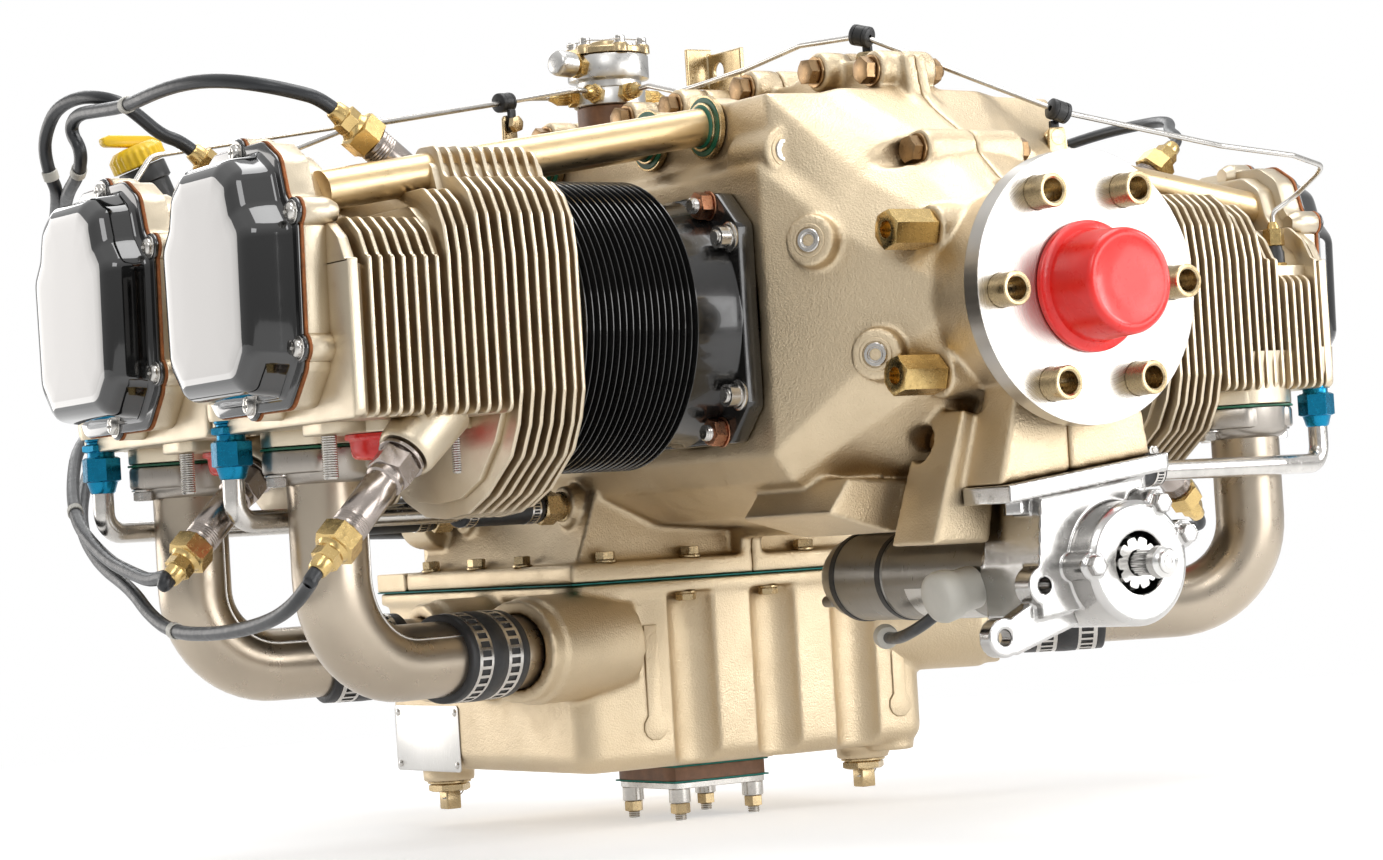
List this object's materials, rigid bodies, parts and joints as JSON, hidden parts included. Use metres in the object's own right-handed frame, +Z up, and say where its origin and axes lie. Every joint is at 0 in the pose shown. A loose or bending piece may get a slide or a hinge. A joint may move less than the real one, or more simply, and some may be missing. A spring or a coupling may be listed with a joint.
{
  "type": "aircraft piston engine",
  "caption": "Air-cooled flat aircraft piston engine: opposed finned cylinders, cast case and sump, flanged propeller shaft, fuel injection, starter and shielded ignition.",
  "frame": {"origin": "centre of the propeller flange's front face, on the crankshaft axis", "axes": "+Y runs aft along the crankshaft, +Z is up, +X is the engine's left side; the propeller goes on towards -Y"},
  "size_m": [0.854, 0.7631, 0.508],
  "materials": {
    "cast_gold": "satin cast aluminium with a gold conversion coat",
    "steel_machined": "fine turned steel",
    "zinc_gold": "yellow zinc plate",
    "barrel_black": "satin black enamel on steel",
    "aluminium": "machined aluminium",
    "cover_black": "gloss black enamel",
    "cork": "pressed cork gasket",
    "gasket_teal": "thin fibre gasket",
    "red_plastic": "moulded cap",
    "yellow_plastic": "moulded cap",
    "rubber": "moulded rubber",
    "phenolic": "laminated phenolic",
    "pipe_steel": "drawn and brushed tube",
    "fastener_steel": "plated fasteners",
    "copper_plate": "copper coloured plating",
    "seal_green": "moulded seal",
    "black_plastic": "moulded plastic"
  },
  "bodies": {
    "engine": {"accessory_housing": "cast_gold", "case_bolts": "zinc_gold", "case_gaskets": "gasket_teal", "crankcase_left": "cast_gold", "crankcase_right": "cast_gold", "cylinder_barrel_1": "barrel_black", "cylinder_barrel_2": "barrel_black", "cylinder_barrel_3": "barrel_black", "cylinder_barrel_4": "barrel_black", "cylinder_fasteners": "copper_plate", "cylinder_head_1": "cast_gold", "cylinder_head_2": "cast_gold", "cylinder_head_3": "cast_gold", "cylinder_head_4": "cast_gold", "distributor_cover": "zinc_gold", "distributor_spacer": "phenolic", "drain_back_fittings": "zinc_gold", "drain_back_tubes": "pipe_steel", "drain_plugs": "zinc_gold", "exhaust_port_caps": "red_plastic", "fuel_distributor": "aluminium", "fuel_lines": "pipe_steel", "fuel_nozzles": "black_plastic", "hose_clamps": "fastener_steel", "ignition_leads": "rubber", "induction_pad": "phenolic", "intake_flanges": "aluminium", "intake_pipes": "pipe_steel", "lead_nuts": "zinc_gold", "lifting_bracket": "zinc_gold", "line_clips": "rubber", "magnetos": "cast_gold", "oil_filler_tube": "cover_black", "oil_filter": "cover_black", "oil_sump": "cast_gold", "pushrod_tube_seals": "seal_green", "pushrod_tubes": "zinc_gold", "rocker_cover_1": "cover_black", "rocker_cover_2": "cover_black", "rocker_cover_3": "cover_black", "rocker_cover_4": "cover_black", "rocker_cover_gaskets": "cork", "rocker_cover_screws": "fastener_steel", "rubber_hoses": "rubber", "spark_plugs": "fastener_steel", "starter_housing": "aluminium", "starter_motor": "steel_machined", "starter_terminal": "rubber"},
    "crank_train": {"crankshaft": "steel_machined", "propeller_bushings": "zinc_gold"},
    "cap": {"crankshaft_cap": "red_plastic"},
    "cam": {"camshaft": "steel_machined"},
    "idler": {"idler_gear": "steel_machined"},
    "piston_one": {"piston_1": "aluminium"},
    "piston_two": {"piston_2": "aluminium"},
    "piston_three": {"piston_3": "aluminium"},
    "piston_four": {"piston_4": "aluminium"},
    "starter_spindle": {"starter_shaft": "steel_machined"},
    "pinion": {"starter_pinion": "steel_machined"},
    "filler_cap": {"oil_filler_cap": "yellow_plastic"}
  },
  "joints": [
    {"name": "crankshaft_turn", "type": "hinge", "parent": "engine", "child": "crank_train", "pos_m": [0, 0.3, 0], "axis": [0, 1, 0], "continuous": true},
    {"name": "idler_turn", "type": "hinge", "parent": "engine", "child": "idler", "pos_m": [0, 0.572, 0.04], "axis": [0, 1, 0], "continuous": true},
    {"name": "camshaft_turn", "type": "hinge", "parent": "engine", "child": "cam", "pos_m": [0, 0.36, 0.102], "axis": [0, 1, 0], "continuous": true},
    {"name": "crankshaft_cap_pull", "type": "slide", "parent": "crank_train", "child": "cap", "axis": [0, -1, 0], "range_m": [0, 0.05]},
    {"name": "piston_1_stroke", "type": "slide", "parent": "engine", "child": "piston_one", "axis": [1, 0, 0], "range_m": [0, 0.1111]},
    {"name": "piston_2_stroke", "type": "slide", "parent": "engine", "child": "piston_two", "axis": [-1, 0, 0], "range_m": [0, 0.1111]},
    {"name": "piston_3_stroke", "type": "slide", "parent": "engine", "child": "piston_three", "axis": [-1, 0, 0], "range_m": [0, 0.1111]},
    {"name": "piston_4_stroke", "type": "slide", "parent": "engine", "child": "piston_four", "axis": [1, 0, 0], "range_m": [0, 0.1111]},
    {"name": "starter_turn", "type": "hinge", "parent": "engine", "child": "starter_spindle", "pos_m": [0.025, 0.01, -0.153], "axis": [0, 1, 0], "continuous": true},
    {"name": "starter_pinion_throw", "type": "slide", "parent": "starter_spindle", "child": "pinion", "axis": [0, -1, 0], "range_m": [0, 0.012]},
    {"name": "oil_filler_cap_pull", "type": "slide", "parent": "engine", "child": "filler_cap", "axis": [-0.3591, 0.0631, 0.9312], "range_m": [0, 0.21]}
  ],
  "couplings": [
    {"joint": "idler_turn", "follows": "crankshaft_turn", "ratio": -1.2222},
    {"joint": "camshaft_turn", "follows": "crankshaft_turn", "ratio": 0.5}
  ]
}
